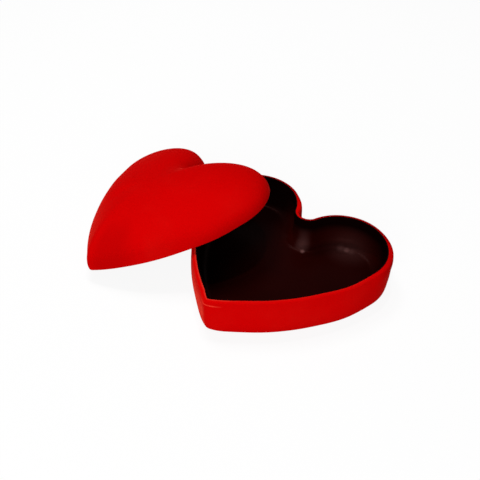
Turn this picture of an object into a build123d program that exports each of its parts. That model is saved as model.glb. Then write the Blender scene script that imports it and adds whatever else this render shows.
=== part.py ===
from build123d import *
import math
import os
from dataclasses import dataclass

os.makedirs("parts", exist_ok=True)

# A heart-shaped gift box in red velvet, with a lift-off domed lid and a dark moulded lining.
# Millimetres, +Z up. The origin is on the table under the middle of the heart's length, and the
# heart's line of symmetry runs along Y, with the cleft towards +Y. The lid is off the box: it
# leans on the left rim of the base, with its low edge on the table.

# Heart outline of the base at its rim
HEART_WIDTH = 110.0
HEART_LENGTH = 98.7
TIP_RADIUS = 2.5
SHARPEST_CORNER = 0.4
# Radius of the lobes, depth of the cleft and radius of the sides, as shares of the heart's width
LOBE_SHARE = 0.2355
CLEFT_SHARE = 0.178
SIDE_SHARE = 0.957

# Base: moulded tray, velvet wrap and felt pad
BASE_HEIGHT = 21.7
WALL_CROWN = 1.1
BOTTOM_ROUND = 0.8
RIM_ROUND = 1.2
BASE_VELVET = 0.7
BASE_WALL = 0.9
BASE_FLOOR = 1.6
TRAY_BOTTOM_ROUND = 0.4
TRAY_RIM_ROUND = 0.4
RIM_TURN_IN = 0.2
RIM_TURN_DEPTH = 5.0
TURN_UNDER = 6.0
FELT_PROUD = 0.2

# Moulded lining of the base
LINING_WALL = 0.7
LINING_FLOOR = 0.9
LINING_COVE = 7.0
LINING_BELOW_RIM = 0.2

# Lid: domed shell, wadding, velvet cover and lining
LID_OVERHANG = 1.0
LID_BAND = 0.6
DOME_RISE = 22.4
DOME_CREST_BELOW_LOBES = 22.4
DOME_TIP_ROUND = 10.0
LID_VELVET = 0.7
LID_WADDING = 1.2
LID_SHELL = 1.4
LID_LINING = 0.5

# Collar inside the lid, which drops into the mouth of the base when the box is closed
COLLAR_CLEARANCE = 0.4
COLLAR_WALL = 1.0
COLLAR_DROP = 1.2
COLLAR_HEIGHT = 4.0

# How the lid lies beside the base: where its middle is, its turn, and which way its plane climbs
LEAN_X = -66.9
LEAN_Y = -13.5
LEAN_TURN = -6.7
LEAN_CLIMB = 23.5
LEAN_CLEARANCE = 0.3
STEEPEST_LEAN = 60.0

# Cuts run past the faces that they open by this much
OVERRUN = 2.0

# Places round a quarter circle, up a wall and up the dome where an outline is drawn
ROUND_STEP_SHARES = (0.0, 0.2, 0.4, 0.6, 0.8, 1.0)
WALL_STEP_SHARES = (0.2, 0.4, 0.6, 0.8)
DOME_LEVEL_SHARES = (0.0, 0.16, 0.32, 0.48, 0.62, 0.74, 0.84, 0.91, 0.96, 0.985, 0.997)

# Powers that round the dome's profile, and that close its lobes, cleft and ends in with its width
DOME_POWER = 2.18
LOBE_POWER = 1.15
CLEFT_POWER = 1.15
END_POWER = 1.15

# Steps along each arc, and halvings of the lean's angle, when the lid is set against the base
LEAN_POINTS = 60
LEAN_HALVINGS = 20


@dataclass
class Heart:
    """A heart of tangent arcs: a rounded cleft, two lobes, two sides and a rounded tip."""

    half_width: float
    lobe: float
    lobe_y: float
    cleft: float
    tip_y: float
    side: float
    tip: float

    def side_centre(self):
        """Centre of the right side's arc, which is tangent to the lobe and meets the sharp tip."""
        span_x = self.half_width - self.lobe
        span_y = self.lobe_y - self.tip_y
        span = math.hypot(span_x, span_y)
        along = (self.side**2 - (self.side - self.lobe) ** 2 + span**2) / (2 * span)
        across = math.sqrt(self.side**2 - along**2)
        x = (span_x * along - span_y * across) / span
        y = self.tip_y + (span_y * along + span_x * across) / span
        return Vector(x, y)

    def inset(self, by):
        """The heart drawn in all round by a distance, or let out where it is below zero."""
        centre = self.side_centre()
        return Heart(
            half_width=self.half_width - by,
            lobe=self.lobe - by,
            lobe_y=self.lobe_y,
            cleft=self.cleft,
            tip_y=centre.Y - math.sqrt((self.side - by) ** 2 - centre.X**2),
            side=self.side - by,
            tip=max(self.tip - by, SHARPEST_CORNER),
        )

    def arcs(self):
        """Centre, radius, first and last angle of the right half's arcs, from cleft to tip."""
        lobe_x = self.half_width - self.lobe
        rise = self.lobe - self.cleft
        cleft_radius = (lobe_x**2 + rise**2 - self.lobe**2) / (2 * self.cleft)
        side_at = self.side_centre()
        lobe_at = Vector(lobe_x, self.lobe_y)
        cleft_at = Vector(0, self.lobe_y + rise + cleft_radius)
        tip_at = Vector(0, side_at.Y - math.sqrt((self.side - self.tip) ** 2 - side_at.X**2))
        cleft_way = cleft_at - lobe_at
        lobe_way = lobe_at - side_at
        tip_way = tip_at - side_at
        cleft_angle = math.atan2(cleft_way.Y, cleft_way.X)
        lobe_angle = math.atan2(lobe_way.Y, lobe_way.X)
        tip_angle = math.atan2(tip_way.Y, tip_way.X)
        down = -math.pi / 2
        return [
            (cleft_at, cleft_radius, down, cleft_angle - math.pi),
            (lobe_at, self.lobe, cleft_angle, lobe_angle),
            (side_at, self.side, lobe_angle, tip_angle),
            (tip_at, self.tip, tip_angle, down),
        ]

    def face(self, z):
        """The flat heart at a height."""
        right = [[arc_point(arc, share) for share in (0, 1 / 2, 1)] for arc in self.arcs()]
        left = [[mirrored(point) for point in points] for points in right]
        cleft_points = [left[0][2], right[0][0], right[0][2]]
        tip_points = [right[3][0], right[3][2], left[3][0]]
        left_side = left[2][::-1]
        left_lobe = left[1][::-1]
        outline = [right[1], right[2], tip_points, left_side, left_lobe, cleft_points]
        return Pos(0, 0, z) * make_face([ThreePointArc(*points) for points in outline])

    def points(self, z):
        """Points along the whole outline at a height."""
        shares = [step / LEAN_POINTS for step in range(LEAN_POINTS)]
        right = [arc_point(arc, share) + Vector(0, 0, z) for arc in self.arcs() for share in shares]
        return right + [mirrored(point) for point in right]

    def depth(self, point):
        """How far inside the outline a point lies in plan, below zero outside it."""
        depths = []
        for index, (centre, radius, first, last) in enumerate(self.arcs()):
            away = Vector(abs(point.X), point.Y) - centre
            turn = (math.atan2(away.Y, away.X) - first) / (last - first)
            if 0 <= turn <= 1:
                inward = radius - away.length
                depths.append(inward if index else -inward)
        return min(depths, key=abs, default=-math.inf)


def arc_point(arc, share):
    """The point a share of the way along an arc."""
    centre, radius, first, last = arc
    angle = first + (last - first) * share
    return centre + Vector(math.cos(angle), math.sin(angle)) * radius


def mirrored(point):
    """A point's twin across the heart's line of symmetry."""
    return Vector(-point.X, point.Y, point.Z)


def prism(heart, low, high):
    """A straight-sided heart between two heights."""
    return extrude(heart.face(low), high - low, dir=Axis.Z.direction)


def stack(sections, ruled=True):
    """A solid drawn through hearts, given as pairs of heart and height."""
    return loft([heart.face(z) for heart, z in sections], ruled=ruled)


def cup(inset, low, high, bottom_round, crown=0):
    """Sections of a cup with a rounded bottom edge and a wall that may swell by a crown."""
    sections = []
    for share in ROUND_STEP_SHARES:
        angle = share * math.pi / 2
        drawn_in = inset + bottom_round * (1 - math.sin(angle))
        sections.append((rim.inset(drawn_in), low + bottom_round * (1 - math.cos(angle))))
    straight = high - low - bottom_round
    for share in WALL_STEP_SHARES:
        swell = crown * 4 * share * (1 - share)
        sections.append((rim.inset(inset - swell), low + bottom_round + straight * share))
    sections.append((rim.inset(inset), high))
    return sections


def barrel(inset, low, high, bottom_round, rim_round):
    """A solid base with a crowned wall and rounded bottom and rim edges."""
    sections = cup(inset, low, high - rim_round, bottom_round, WALL_CROWN)
    for share in ROUND_STEP_SHARES[1:]:
        angle = share * math.pi / 2
        drawn_in = inset + rim_round * (1 - math.cos(angle))
        sections.append((rim.inset(drawn_in), high - rim_round * (1 - math.sin(angle))))
    return stack(sections)


def dome(layer):
    """A solid dome a layer's depth below the lid's outer face, with a skirt below the lid's edge."""
    edge = rim.inset(layer - LID_OVERHANG)
    crest_y = rim.lobe_y - DOME_CREST_BELOW_LOBES
    top = edge.lobe_y + edge.lobe
    sections = [(edge, -COLLAR_DROP - OVERRUN), (edge, -COLLAR_DROP)]
    for level in DOME_LEVEL_SHARES:
        width = (1 - level**DOME_POWER) ** (1 / DOME_POWER)
        ends = width**END_POWER
        lobe = edge.lobe * width**LOBE_POWER
        heart = Heart(
            half_width=edge.half_width * width,
            lobe=lobe,
            lobe_y=crest_y + (top - crest_y) * ends - lobe,
            cleft=edge.cleft * width**CLEFT_POWER,
            tip_y=crest_y + (edge.tip_y - crest_y) * ends,
            side=edge.side * width,
            tip=edge.tip * width + DOME_TIP_ROUND * width * (1 - width),
        )
        sections.append((heart, LID_BAND + (DOME_RISE - layer) * level))
    return stack(sections, ruled=False)


def above(shape, height):
    """What of a shape lies above a height."""
    return split(shape, bisect_by=Plane.XY.offset(height), keep=Keep.TOP)


# The heart at the rim of the base, with the origin in the middle of its length
rim = Heart(
    half_width=HEART_WIDTH / 2,
    lobe=HEART_WIDTH * LOBE_SHARE,
    lobe_y=HEART_LENGTH / 2 - HEART_WIDTH * LOBE_SHARE,
    cleft=HEART_WIDTH * CLEFT_SHARE,
    tip_y=-HEART_LENGTH / 2,
    side=HEART_WIDTH * SIDE_SHARE,
    tip=TIP_RADIUS,
)

# Base tray: the moulded core that carries the wrap outside and the lining inside
tray_low = FELT_PROUD + BASE_VELVET
floor_top = tray_low + BASE_FLOOR
tray_inside = BASE_VELVET + BASE_WALL
core = barrel(BASE_VELVET, tray_low, BASE_HEIGHT - BASE_VELVET, TRAY_BOTTOM_ROUND, TRAY_RIM_ROUND)
tray = core - prism(rim.inset(tray_inside), floor_top, BASE_HEIGHT)
export_step(tray, "parts/base_tray.step")

# Felt pad: a flat heart glued under the tray, which the box stands on
pad_heart = rim.inset(BOTTOM_ROUND + TURN_UNDER)
pad = prism(pad_heart, 0, tray_low)
export_step(pad, "parts/base_felt_pad.step")

# Base velvet: wraps the wall, turns in over the rim and turns under as far as the felt pad
rim_width = tray_inside + RIM_TURN_IN
turn_low = BASE_HEIGHT - RIM_TURN_DEPTH
mouth = rim.inset(rim_width)
wrap = barrel(0, FELT_PROUD, BASE_HEIGHT, BOTTOM_ROUND, RIM_ROUND) - core
wrap -= prism(mouth, turn_low, BASE_HEIGHT + OVERRUN)
wrap -= prism(pad_heart, -OVERRUN, tray_low)
turn_in = prism(rim.inset(tray_inside), turn_low, BASE_HEIGHT - BASE_VELVET)
turn_in -= prism(mouth, turn_low - OVERRUN, BASE_HEIGHT)
export_step(wrap + turn_in, "parts/base_velvet.step")

# Base lining: a thin moulded liner with a coved floor, standing on the tray's floor
lining_top = BASE_HEIGHT - LINING_BELOW_RIM
lining_inside = rim_width + LINING_WALL
lining = stack(cup(rim_width, floor_top, lining_top, LINING_COVE + LINING_WALL))
lining -= stack(cup(lining_inside, floor_top + LINING_FLOOR, BASE_HEIGHT, LINING_COVE))
export_step(lining, "parts/base_lining.step")

# Collar: a low upright wall inside the lid that keeps the closed lid in place
collar_heart = rim.inset(lining_inside + COLLAR_CLEARANCE)
collar_bore = collar_heart.inset(COLLAR_WALL)
hollow = dome(LID_VELVET + LID_WADDING + LID_SHELL + LID_LINING)
collar = prism(collar_heart, -COLLAR_DROP, COLLAR_HEIGHT)
collar -= prism(collar_bore, -COLLAR_DROP - OVERRUN, COLLAR_HEIGHT + OVERRUN)
collar = collar & hollow

# Lid lining, shell and wadding: domed layers that end on the velvet turned in under the edge
lining_dome = dome(LID_VELVET + LID_WADDING + LID_SHELL)
shell_dome = dome(LID_VELVET + LID_WADDING)
wadding_dome = dome(LID_VELVET)
lid_lining = above(lining_dome - hollow, LID_VELVET)
lid_shell = above(shell_dome - lining_dome, LID_VELVET)
lid_wadding = above(wadding_dome - shell_dome, LID_VELVET)

# Lid velvet: one cover over the dome, turned in under the edge as far as the collar
lid_velvet = above(dome(0), 0) - above(wadding_dome, LID_VELVET)
lid_velvet -= prism(collar_heart, -OVERRUN, LID_VELVET + OVERRUN)

# The lean: the lid is tilted until its collar clears the rim of the base, low edge on the table
tilt_axis = Vector(math.sin(math.radians(LEAN_CLIMB)), -math.cos(math.radians(LEAN_CLIMB)))
edge_points = rim.inset(-LID_OVERHANG).points(0)
collar_points = collar_heart.points(-COLLAR_DROP)


def leaning(tilt, height):
    """The lid's place at a tilt, with its middle at a height."""
    return Location((LEAN_X, LEAN_Y, height), tilt_axis, tilt) * Rotation(0, 0, LEAN_TURN)


def placed(points, place):
    """Points of the closed lid, carried to a place."""
    plane = Plane(place)
    return [plane.from_local_coords(point) for point in points]


def lean_height(tilt):
    """The height of the lid's middle that puts the lowest point of its edge on the table."""
    return -min(point.Z for point in placed(edge_points, leaning(tilt, 0)))


def rim_gap(tilt):
    """The least height of the collar above the rounded rim of the base at a tilt."""
    gaps = []
    for point in placed(collar_points, leaning(tilt, lean_height(tilt))):
        depth = rim.depth(point)
        if 0 <= depth <= rim_width:
            off_round = max(RIM_ROUND - depth, 0)
            rim_top = BASE_HEIGHT - RIM_ROUND + math.sqrt(RIM_ROUND**2 - off_round**2)
            gaps.append(point.Z - rim_top)
    return min(gaps, default=math.inf)


flatter = 0
steeper = STEEPEST_LEAN
for _ in range(LEAN_HALVINGS):
    middle = (flatter + steeper) / 2
    if rim_gap(middle) < LEAN_CLEARANCE:
        flatter = middle
    else:
        steeper = middle
lean = leaning(steeper, lean_height(steeper))
print("The lid leans at", round(steeper, 2), "degrees")

export_step(lean * collar, "parts/lid_collar.step")
export_step(lean * lid_lining, "parts/lid_lining.step")
export_step(lean * lid_shell, "parts/lid_shell.step")
export_step(lean * lid_wadding, "parts/lid_wadding.step")
export_step(lean * lid_velvet, "parts/lid_velvet.step")
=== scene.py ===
import math
from dataclasses import dataclass

import bpy
from mathutils import Matrix, Vector, noise


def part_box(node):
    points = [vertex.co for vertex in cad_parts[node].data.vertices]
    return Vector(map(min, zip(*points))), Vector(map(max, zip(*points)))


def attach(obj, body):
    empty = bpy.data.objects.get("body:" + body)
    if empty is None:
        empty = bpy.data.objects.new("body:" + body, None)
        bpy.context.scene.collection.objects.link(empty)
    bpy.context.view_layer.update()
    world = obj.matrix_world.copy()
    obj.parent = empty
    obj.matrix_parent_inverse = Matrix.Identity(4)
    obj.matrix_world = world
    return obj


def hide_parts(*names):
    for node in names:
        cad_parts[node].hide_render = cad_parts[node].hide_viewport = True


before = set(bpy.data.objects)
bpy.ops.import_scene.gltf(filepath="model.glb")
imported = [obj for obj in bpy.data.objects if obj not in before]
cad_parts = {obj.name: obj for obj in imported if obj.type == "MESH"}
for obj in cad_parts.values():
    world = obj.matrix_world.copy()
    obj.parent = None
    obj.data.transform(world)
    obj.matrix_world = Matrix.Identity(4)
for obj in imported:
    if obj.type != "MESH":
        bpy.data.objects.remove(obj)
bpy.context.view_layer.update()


# Base tray: the hidden core of the box, a shallow heart-shaped tray with an upright wall.
# It is pressed from wood-fibre board in one piece, and velvet is glued over its outside.
BOARD_PALE = (0.42, 0.32, 0.21, 1.0)
BOARD_DARK = (0.27, 0.19, 0.12, 1.0)
BOARD_FIBRE_STRETCH = (1.0, 1.0, 4.0)
BOARD_FIBRE_SCALE = 420.0
BOARD_GRAIN_DEPTH = 0.00012
MIX_LOW_INPUT = 6
MIX_HIGH_INPUT = 7
MIX_COLOUR_OUTPUT = 2


def add_node(tree, kind, inputs, **settings):
    """Adds a node, with each input set to a value or linked from another node's output."""
    made = tree.nodes.new(kind)
    for name, value in settings.items():
        setattr(made, name, value)
    for name, value in inputs.items():
        if isinstance(value, bpy.types.NodeSocket):
            tree.links.new(value, made.inputs[name])
        else:
            made.inputs[name].default_value = value
    return made


def start_material(name):
    """A new material, its node tree, its shader and the place of a point on the piece."""
    material = bpy.data.materials.new(name)
    material.use_nodes = True
    tree = material.node_tree
    place = add_node(tree, "ShaderNodeTexCoord", {}).outputs["Object"]
    return material, tree, tree.nodes["Principled BSDF"], place


def set_shader(tree, shader, inputs):
    """Sets the shader's own sockets, or links them from other nodes' outputs."""
    for name, value in inputs.items():
        if isinstance(value, bpy.types.NodeSocket):
            tree.links.new(value, shader.inputs[name])
        else:
            shader.inputs[name].default_value = value


def grain(tree, place, scale, detail, stretch=None):
    """A noise between 0 and 1, with its marks stretched along the axes where that is given."""
    if stretch:
        mapped = add_node(tree, "ShaderNodeMapping", {"Vector": place, "Scale": stretch})
        place = mapped.outputs["Vector"]
    inputs = {"Vector": place, "Scale": scale, "Detail": detail}
    return add_node(tree, "ShaderNodeTexNoise", inputs).outputs["Fac"]


def blend_colours(tree, factor, low, high):
    """A colour between two, by a factor. The mix node's colour sockets go by number."""
    inputs = {"Factor": factor, MIX_LOW_INPUT: low, MIX_HIGH_INPUT: high}
    return add_node(tree, "ShaderNodeMix", inputs, data_type="RGBA").outputs[MIX_COLOUR_OUTPUT]


def fibrous(name, scale, detail, depth, dark, pale, finish, stretch=None):
    """A finish of matted fibres: mottled between two colours, with the fibres raised in its face."""
    material, tree, shader, place = start_material(name)
    fibres = grain(tree, place, scale, detail, stretch)
    bump = add_node(tree, "ShaderNodeBump", {"Height": fibres, "Distance": depth})
    colour = blend_colours(tree, fibres, dark, pale)
    set_shader(tree, shader, {"Base Color": colour, "Normal": bump.outputs["Normal"], **finish})
    return material


board = fibrous(
    "pressed_board",
    scale=BOARD_FIBRE_SCALE,
    detail=6.0,
    depth=BOARD_GRAIN_DEPTH,
    dark=BOARD_DARK,
    pale=BOARD_PALE,
    finish={"Roughness": 0.85, "Specular IOR Level": 0.2},
    stretch=BOARD_FIBRE_STRETCH,
)


def cover_node(node, material):
    """Gives a CAD node that keeps its shape its real finish."""
    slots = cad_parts[node].data.materials
    slots.clear()
    slots.append(material)


cover_node("base_tray", board)


# Velvet wrap of the base: one strip of red short-pile velvet, drawn round the wall of the tray.
# It is turned in over the rim, tucked under along the bottom edge, and glued. Beside the tip
# the turned-in cloth ends in a soft fold just below the rim.

# Its outline, which the whole box follows.
HEART_WIDTH = 0.110
HEART_LENGTH = 0.0987
LOBE_SHARE = 0.2355
CLEFT_SHARE = 0.178
SIDE_SHARE = 0.957
TIP_RADIUS = 0.0025
SHARPEST_CORNER = 0.0004
ARC_STEPS = (14, 130, 120, 12)
QUARTER_TURN = math.pi / 2
SHARP_FOLD = math.radians(50)

# Its profile, and the steps along it.
BASE_HEIGHT = 0.0217
WALL_CROWN = 0.0013
BOTTOM_ROUND = 0.0008
RIM_PROUD = 0.0002
RIM_ROUND = 0.0016
RIM_INNER_ROUND = 0.0002
RIM_WIDTH = 0.0018
BASE_VELVET = 0.0007
TURN_IN_CLOTH = 0.0002
TURN_IN_DEPTH = 0.0050
TURN_UNDER = 0.0060
FELT_PROUD = 0.0002
GLUE_GAP = 0.00004
UNDER_STEPS = 12
ROUND_STEPS = 8
LOW_WALL_STEPS = 24
HIGH_WALL_STEPS = 54
HIGH_WALL_SHARE = 0.70
INNER_ROUND_STEPS = 5
TURN_IN_STEPS = 8
BACK_STEPS = 10

# The folded edge of the turned-in cloth beside the tip.
FOLD_STEP = 0.00040
FOLD_EDGE = 0.00035
FOLD_ROLL = 0.0022
FOLD_DEPTH_SIDE = 0.0010
FOLD_DEPTH_TIP = 0.0025
FOLD_RISE_REACH = 0.009
FOLD_FALL_SHARE = 0.05
FOLD_LEFT_REACH = 0.075
FOLD_RIGHT_REACH = 0.009

# Where the mouth gives way, and where the cloth stands off the wall or is drawn in.
SLACK_TIP_LEFT = 0.008
SLACK_TIP_RIGHT = 0.022
SLACK_END_AT = 0.072
SLACK_END_REACH = 0.018
SLACK_END_SHARE = 0.75
SLACK_LOW = 0.012
RIM_LEAN = 0.0008
RIM_DIP = 0.0005
TIP_SWELL = 0.0006
TIP_FLANK = 0.006
HIP_AT = 0.071
HIP_REACH = 0.020
HIP_SWELL = 0.0007
END_AT = 0.104
END_REACH = 0.024
RIM_FLARE = 0.0008
RIM_FLARE_RISE = (0.0130, 0.0210)
CLEFT_FLARE_AT = -0.161
CLEFT_FLARE_REACH = 0.010
END_TUCK = 0.0006
END_TUCK_AT = 0.097
END_TUCK_SPAN = (0.000, 0.006, 0.0190, 0.011)
LOW_SWELL = 0.0003
LOW_SWELL_TOP = 0.012
WRAP_WAVER = 0.00010
WRAP_WAVER_SCALE = 70.0

# Its painted light and shade: a painted highlight and shadow along the fold, painted sheen on the left wall,
# a painted highlight on the rim, painted shade on the far rim and the right end.
FOLD_PAINTED_LINE = 0.0006
FOLD_PAINTED_HIGHLIGHT = 0.65
FOLD_PAINTED_SHADOW = 0.32
LEFT_PAINTED_SHEEN = 0.70
LEFT_SHEEN_REACH = 0.036
RIM_PAINTED_HIGHLIGHT = 0.45
RIM_HIGHLIGHT_FAR = 0.10
RIM_HIGHLIGHT_NEAR = (0.018, 0.006)
RIM_HIGHLIGHT_REACH = 0.110
RIM_PAINTED_SHADE = 0.9
RIM_SHADE_FROM = (0.106, 0.124)
RIM_SHADE_END = (-0.160, -0.148)
END_PAINTED_SHADE = 0.3
END_SHADE_RISE = (0.010, 0.017)

# The tucks of a turned-under edge.
TUCK_PITCH = 0.0046
TUCK_UNEVENNESS = 1.6
TUCK_DRIFT_SCALE = 0.45
TUCK_HALF_WIDTH = 0.28
HALF_PITCH = 0.5
WRAP_TUCK_PRESS = (0.0, 0.0, 0.00030)
WRAP_TUCK_SEED = 3.0

# The velvet's colours, its random nap patches and pile, and its painted sheen and painted shade.
VELVET_RED = (0.600, 0.0005, 0.0008, 1.0)
VELVET_SHEEN_AND_PATCH_PALE = (0.900, 0.0520, 0.0300, 1.0)
VELVET_SHADE_AND_PILE_DARK = (0.300, 0.0002, 0.0005, 1.0)
VELVET_SHEEN_TINT = (1.0, 0.10, 0.08, 1.0)
# Painted sheen on faces turned to the left and front, standing in for grazing light from the left.
SHEEN_PAINT_FACING = (-0.77, -0.64, 0.0)
SHEEN_PAINT_FROM = (0.55, 1.0)
SHEEN_PAINT_SHARE = (0.0, 0.3)
NAP_PATCH_SCALE = 38.0
NAP_PATCH_FROM = (0.50, 0.75)
NAP_PATCH_PALE = (0.0, 0.06)
NAP_BRUSH_STRETCH = (1.0, 2.6, 1.6)
NAP_BRUSH_SCALE = 120.0
NAP_SPECKLE_SCALE = 420.0
NAP_SPECKLE_FROM = (0.35, 0.65)
NAP_SPECKLE_SHARES = (0.7, 1.3)
PAINTED_SHADE_FROM = (0.0, -1.0)
PILE_SCALE = 2600.0
PILE_DEPTH = 0.00016
PILE_SHADE_FROM = (0.30, 0.75)
PILE_SHADE = (0.0, 0.12)
UNIT_RANGE = (0.0, 1.0)


@dataclass
class Heart:
    """A heart of tangent arcs: a rounded cleft, two lobes, two sides and a rounded tip."""

    half_width: float
    lobe: float
    lobe_y: float
    cleft: float
    tip_y: float
    side: float
    tip: float

    def side_centre(self):
        """Centre of the right side's arc, which is tangent to the lobe and meets the sharp tip."""
        run = self.half_width - self.lobe
        rise = self.lobe_y - self.tip_y
        reach = math.hypot(run, rise)
        along = (self.side**2 - (self.side - self.lobe) ** 2 + reach**2) / (2 * reach)
        across = math.sqrt(self.side**2 - along**2)
        x = (run * along - rise * across) / reach
        y = self.tip_y + (rise * along + run * across) / reach
        return Vector((x, y, 0))

    def inset(self, by):
        """The heart drawn in all round by a distance, or let out where it is below zero."""
        centre = self.side_centre()
        return Heart(
            half_width=self.half_width - by,
            lobe=self.lobe - by,
            lobe_y=self.lobe_y,
            cleft=self.cleft,
            tip_y=centre.y - math.sqrt((self.side - by) ** 2 - centre.x**2),
            side=self.side - by,
            tip=max(self.tip - by, SHARPEST_CORNER),
        )

    def outline(self):
        """Points from the tip up the right side and round, each with the way that it faces."""
        lobe_x = self.half_width - self.lobe
        rise = self.lobe - self.cleft
        cleft_radius = (lobe_x**2 + rise**2 - self.lobe**2) / (2 * self.cleft)
        side_at = self.side_centre()
        lobe_at = Vector((lobe_x, self.lobe_y, 0))
        cleft_at = Vector((0, self.lobe_y + rise + cleft_radius, 0))
        tip_at = Vector((0, side_at.y - math.sqrt((self.side - self.tip) ** 2 - side_at.x**2), 0))
        cleft_angle = math.atan2(cleft_at.y - lobe_at.y, cleft_at.x - lobe_at.x)
        lobe_angle = math.atan2(lobe_at.y - side_at.y, lobe_at.x - side_at.x)
        tip_angle = math.atan2(tip_at.y - side_at.y, tip_at.x - side_at.x)
        down = -QUARTER_TURN
        arcs = [
            (cleft_at, cleft_radius, down, cleft_angle - math.pi, -1),
            (lobe_at, self.lobe, cleft_angle, lobe_angle, 1),
            (side_at, self.side, lobe_angle, tip_angle, 1),
            (tip_at, self.tip, tip_angle, down, 1),
        ]
        right = []
        for (centre, radius, first, last, way), steps in zip(arcs, ARC_STEPS):
            for step in range(steps):
                angle = first + (last - first) * step / steps
                spoke = Vector((math.cos(angle), math.sin(angle), 0))
                right.append((centre + spoke * radius, spoke * way))
        right.append((tip_at + Vector((0, -self.tip, 0)), Vector((0, -1, 0))))
        flip = Vector((-1, 1, 1))
        left = [(point * flip, facing * flip) for point, facing in right[1:-1]]
        return right[::-1] + left

    def ring(self, z):
        """The outline's points at a height."""
        return [point + Vector((0, 0, z)) for point, _ in self.outline()]


rim = Heart(
    half_width=HEART_WIDTH / 2,
    lobe=HEART_WIDTH * LOBE_SHARE,
    lobe_y=HEART_LENGTH / 2 - HEART_WIDTH * LOBE_SHARE,
    cleft=HEART_WIDTH * CLEFT_SHARE,
    tip_y=-HEART_LENGTH / 2,
    side=HEART_WIDTH * SIDE_SHARE,
    tip=TIP_RADIUS,
)


def distances_from_tip():
    """How far along the rim each point of an outline lies from the tip, below zero on the left."""
    points = rim.ring(0)
    lengths = [0.0]
    for before, after in zip(points, points[1:]):
        lengths.append(lengths[-1] + (after - before).length)
    whole = lengths[-1] + (points[0] - points[-1]).length
    return [length if length <= whole / 2 else length - whole for length in lengths]


from_tip = distances_from_tip()
cleft_from_tip = max(from_tip)


def shares(count):
    """Evenly spaced shares from 0 to 1, both ends included."""
    return [step / count for step in range(count + 1)]


def ease(value, low, high):
    """A smooth step from 0 at one value to 1 at another."""
    share = min(max((value - low) / (high - low), 0), 1)
    return share * share * (3 - 2 * share)


def span(value, rise_from, rise_to, fall_to, fall_from):
    """One over a stretch of values, eased to zero past both of its ends."""
    return ease(value, rise_from, rise_to) * ease(value, fall_to, fall_from)


def loft(name, rings, first_pole=None, last_pole=None, looped=False):
    """A smooth mesh through rings of points, closed by a pole at an end or by joining the ends."""
    around = len(rings[0])
    points = [point for ring in rings for point in ring]
    faces = []
    rows = list(zip(range(len(rings) - 1), range(1, len(rings))))
    if looped:
        rows.append((len(rings) - 1, 0))
    for low, high in rows:
        for here in range(around):
            there = (here + 1) % around
            low_edge = (low * around + here, low * around + there)
            faces.append((*low_edge, high * around + there, high * around + here))
    for pole, row, way in ((first_pole, 0, -1), (last_pole, len(rings) - 1, 1)):
        if pole is None:
            continue
        points.append(pole)
        for here in range(around):
            edge = (row * around + here, row * around + (here + 1) % around)
            faces.append((*edge[::way], len(points) - 1))
    mesh = bpy.data.meshes.new(name)
    mesh.from_pydata(points, [], faces)
    mesh.shade_smooth()
    mesh.set_sharp_from_angle(angle=SHARP_FOLD)
    piece = bpy.data.objects.new(name, mesh)
    bpy.context.scene.collection.objects.link(piece)
    return piece


def remap(tree, value, given, wanted=UNIT_RANGE, smooth=False):
    """A value carried from one range to another and held at its ends."""
    inputs = {"Value": value, "From Min": given[0], "From Max": given[1]}
    inputs.update({"To Min": wanted[0], "To Max": wanted[1]})
    kind = "SMOOTHSTEP" if smooth else "LINEAR"
    return add_node(tree, "ShaderNodeMapRange", inputs, interpolation_type=kind).outputs["Result"]


def combine(tree, operation, first, second):
    """Two values put through one operation."""
    return add_node(tree, "ShaderNodeMath", {0: first, 1: second}, operation=operation).outputs[0]


def red_velvet():
    """Short-pile velvet: deep red with random pale patches, painted sheen on faces turned to the left,
    painted highlights, sheen and shade from a point attribute, darker between the tufts.
    """
    material, tree, shader, place = start_material("red_velvet")
    # Painted sheen: faces turned to the left and front are lightened here, standing in for grazing light
    # from the left.
    facing = add_node(tree, "ShaderNodeNewGeometry", {}).outputs["Normal"]
    lean_inputs = {0: facing, 1: SHEEN_PAINT_FACING}
    lean = add_node(tree, "ShaderNodeVectorMath", lean_inputs, operation="DOT_PRODUCT").outputs["Value"]
    side = remap(tree, lean, SHEEN_PAINT_FROM, SHEEN_PAINT_SHARE, smooth=True)
    patches = grain(tree, place, NAP_PATCH_SCALE, detail=3.0)
    sheen_and_patches = combine(tree, "ADD", side, remap(tree, patches, NAP_PATCH_FROM, NAP_PATCH_PALE))
    brush = grain(tree, place, NAP_BRUSH_SCALE, detail=2.0, stretch=NAP_BRUSH_STRETCH)
    streaked = combine(tree, "MULTIPLY", sheen_and_patches, brush)
    # Painted highlights, sheen and shade, read from a point attribute: above zero lightens, below zero
    # darkens.
    painted_light_and_shade = add_node(tree, "ShaderNodeAttribute", {}, attribute_name="painted_light_and_shade").outputs["Fac"]
    speckle = grain(tree, place, NAP_SPECKLE_SCALE, detail=3.0)
    speckled = combine(tree, "MULTIPLY", painted_light_and_shade, remap(tree, speckle, NAP_SPECKLE_FROM, NAP_SPECKLE_SHARES))
    lightened = combine(tree, "ADD", speckled, streaked)
    pile = grain(tree, place, PILE_SCALE, detail=2.0)
    shade = remap(tree, pile, PILE_SHADE_FROM, PILE_SHADE)
    # Darker between the tufts, and darker still where painted shade is laid.
    darkened = combine(tree, "MAXIMUM", shade, remap(tree, painted_light_and_shade, PAINTED_SHADE_FROM))
    tone = blend_colours(tree, lightened, VELVET_RED, VELVET_SHEEN_AND_PATCH_PALE)
    tone = blend_colours(tree, darkened, tone, VELVET_SHADE_AND_PILE_DARK)
    bump = add_node(tree, "ShaderNodeBump", {"Height": pile, "Distance": PILE_DEPTH, "Strength": 0.6})
    set_shader(tree, shader, {
        "Base Color": tone,
        "Normal": bump.outputs["Normal"],
        "Roughness": 1.0,
        "Diffuse Roughness": 0.2,
        "Specular IOR Level": 0.0,
        "Sheen Weight": 0.25,
        "Sheen Roughness": 0.25,
        "Sheen Tint": VELVET_SHEEN_TINT,
    })
    return material


velvet = red_velvet()


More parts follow.
